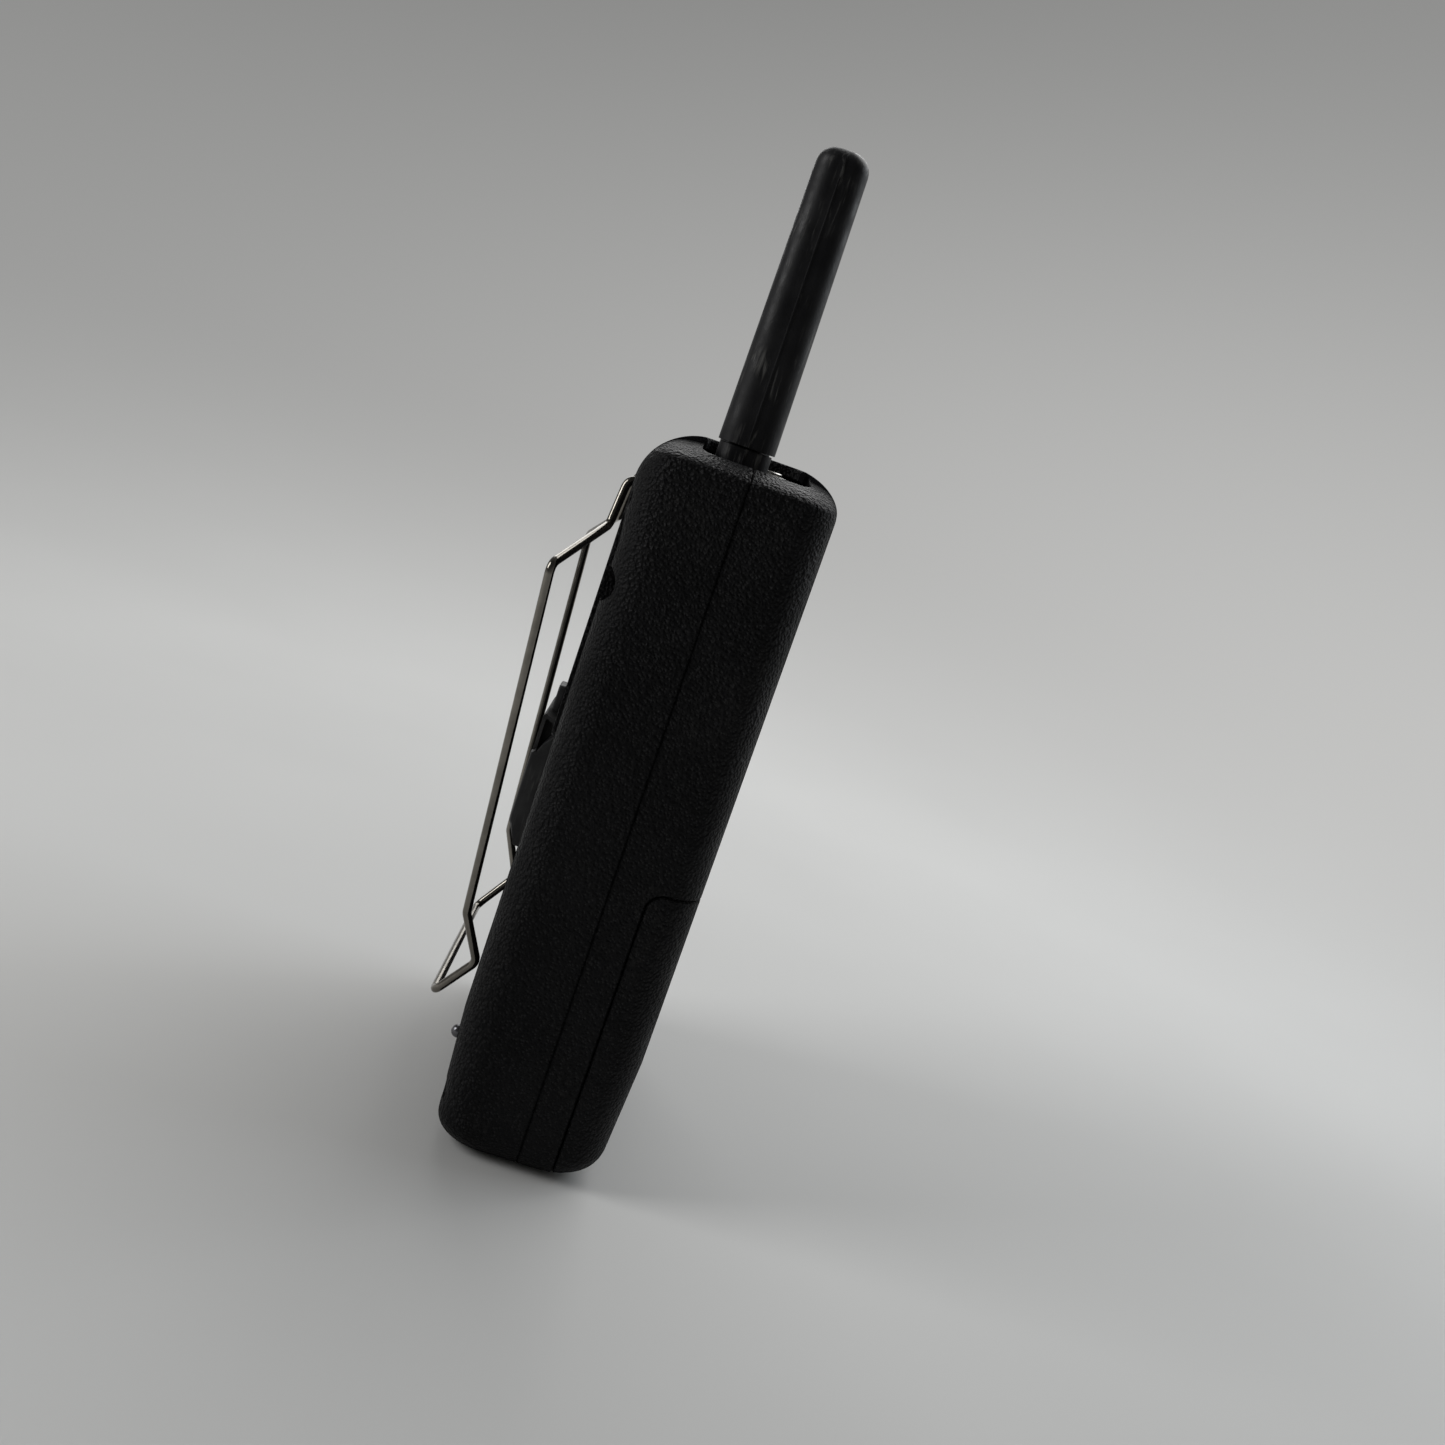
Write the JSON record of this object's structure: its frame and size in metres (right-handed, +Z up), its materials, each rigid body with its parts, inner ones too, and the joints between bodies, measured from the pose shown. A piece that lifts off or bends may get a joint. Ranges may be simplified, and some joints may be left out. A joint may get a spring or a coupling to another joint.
{
  "type": "portable two-way radio",
  "caption": "Belt-worn portable two-way radio: black moulded case, stub antenna, sprung wire belt clip and sliding battery door.",
  "frame": {"origin": "middle of the flat foot that the radio stands on", "axes": "+Z up along the case towards the antenna, -Y is the front with display, keys and battery door, +Y is the back with the belt clip, +X is the side with the push-to-talk button"},
  "size_m": [0.0794, 0.0432, 0.1836],
  "materials": {
    "case_plastic": "fine leather-grain texture, satin black",
    "inner_plastic": "plain moulded, dark grey",
    "rubber": "matt black moulded rubber",
    "spring_steel": "bright nickel-plated spring steel",
    "dark_steel": "dark plated steel",
    "brass": "bright brass",
    "clear_window": "smoked clear acrylic",
    "circuit_board": "green solder mask",
    "cell_wrap": "plain shrink sleeve",
    "cone_paper": "black paper and felt"
  },
  "bodies": {
    "case": {"accessory_jack": "inner_plastic", "antenna_coil": "brass", "antenna_collar": "rubber", "antenna_core": "brass", "antenna_nut": "brass", "antenna_sheath": "rubber", "battery_cell_1": "cell_wrap", "battery_cell_2": "cell_wrap", "battery_cell_3": "cell_wrap", "battery_cell_4": "cell_wrap", "battery_tray": "inner_plastic", "case_screw_lower_left": "dark_steel", "case_screw_lower_right": "dark_steel", "case_screw_upper_left": "dark_steel", "case_screw_upper_right": "dark_steel", "charge_contact_left": "dark_steel", "charge_contact_right": "dark_steel", "clip_bracket": "case_plastic", "clip_screw_left": "dark_steel", "clip_screw_right": "dark_steel", "contact_plate_1": "spring_steel", "contact_plate_2": "spring_steel", "contact_plate_3": "spring_steel", "contact_plate_4": "spring_steel", "contact_spring_1": "spring_steel", "contact_spring_2": "spring_steel", "contact_spring_3": "spring_steel", "contact_spring_4": "spring_steel", "control_well": "inner_plastic", "display_module": "inner_plastic", "display_window": "clear_window", "front_shell": "case_plastic", "headset_jack": "dark_steel", "jack_nut": "spring_steel", "keypad_membrane": "rubber", "main_board": "circuit_board", "microphone": "dark_steel", "ptt_switch": "inner_plastic", "rear_shell": "case_plastic", "rf_board": "circuit_board", "rf_shield": "spring_steel", "speaker_cloth": "cone_paper", "speaker_cone": "cone_paper", "speaker_frame": "dark_steel", "speaker_magnet": "dark_steel", "status_lens": "clear_window", "volume_pot": "dark_steel"},
    "belt_clip": {"belt_clip": "spring_steel"},
    "battery_door": {"battery_door": "case_plastic"},
    "port_cover": {"port_cover": "rubber"},
    "volume": {"volume_knob": "rubber", "volume_shaft": "dark_steel"},
    "power_key": {"power_key": "rubber"},
    "menu_key": {"menu_key": "rubber"},
    "up_key": {"up_key": "rubber"},
    "down_key": {"down_key": "rubber"},
    "call_key": {"call_key": "rubber"},
    "ptt_button": {"ptt_button": "rubber"}
  },
  "joints": [
    {"name": "belt_clip_hinge", "type": "hinge", "parent": "case", "child": "belt_clip", "pos_m": [0, 0.0142, 0.1208], "axis": [1, 0, 0], "range_deg": [0, 16], "stiffness_Nm_per_rad": 0.3},
    {"name": "battery_door_slide", "type": "slide", "parent": "case", "child": "battery_door", "axis": [0, 0, -1], "range_m": [0, 0.058]},
    {"name": "port_cover_hinge", "type": "hinge", "parent": "case", "child": "port_cover", "pos_m": [0, 0.0169, 0.0489], "axis": [-1, 0, 0], "range_deg": [0, 95], "stiffness_Nm_per_rad": 0.02},
    {"name": "volume_turn", "type": "hinge", "parent": "case", "child": "volume", "pos_m": [0.022, 0.0005, 0.1321], "axis": [0, 0, -1], "range_deg": [0, 280]},
    {"name": "power_key_press", "type": "slide", "parent": "case", "child": "power_key", "axis": [0, 1, 0], "range_m": [0, 0.0008], "stiffness_N_per_m": 400},
    {"name": "menu_key_press", "type": "slide", "parent": "case", "child": "menu_key", "axis": [0, 1, 0], "range_m": [0, 0.0008], "stiffness_N_per_m": 400},
    {"name": "up_key_press", "type": "slide", "parent": "case", "child": "up_key", "axis": [0, 1, 0], "range_m": [0, 0.0008], "stiffness_N_per_m": 400},
    {"name": "down_key_press", "type": "slide", "parent": "case", "child": "down_key", "axis": [0, 1, 0], "range_m": [0, 0.0008], "stiffness_N_per_m": 400},
    {"name": "call_key_press", "type": "slide", "parent": "case", "child": "call_key", "axis": [0, 1, 0], "range_m": [0, 0.0008], "stiffness_N_per_m": 400},
    {"name": "ptt_press", "type": "slide", "parent": "case", "child": "ptt_button", "axis": [-1, 0, 0], "range_m": [0, 0.0012], "stiffness_N_per_m": 600}
  ]
}
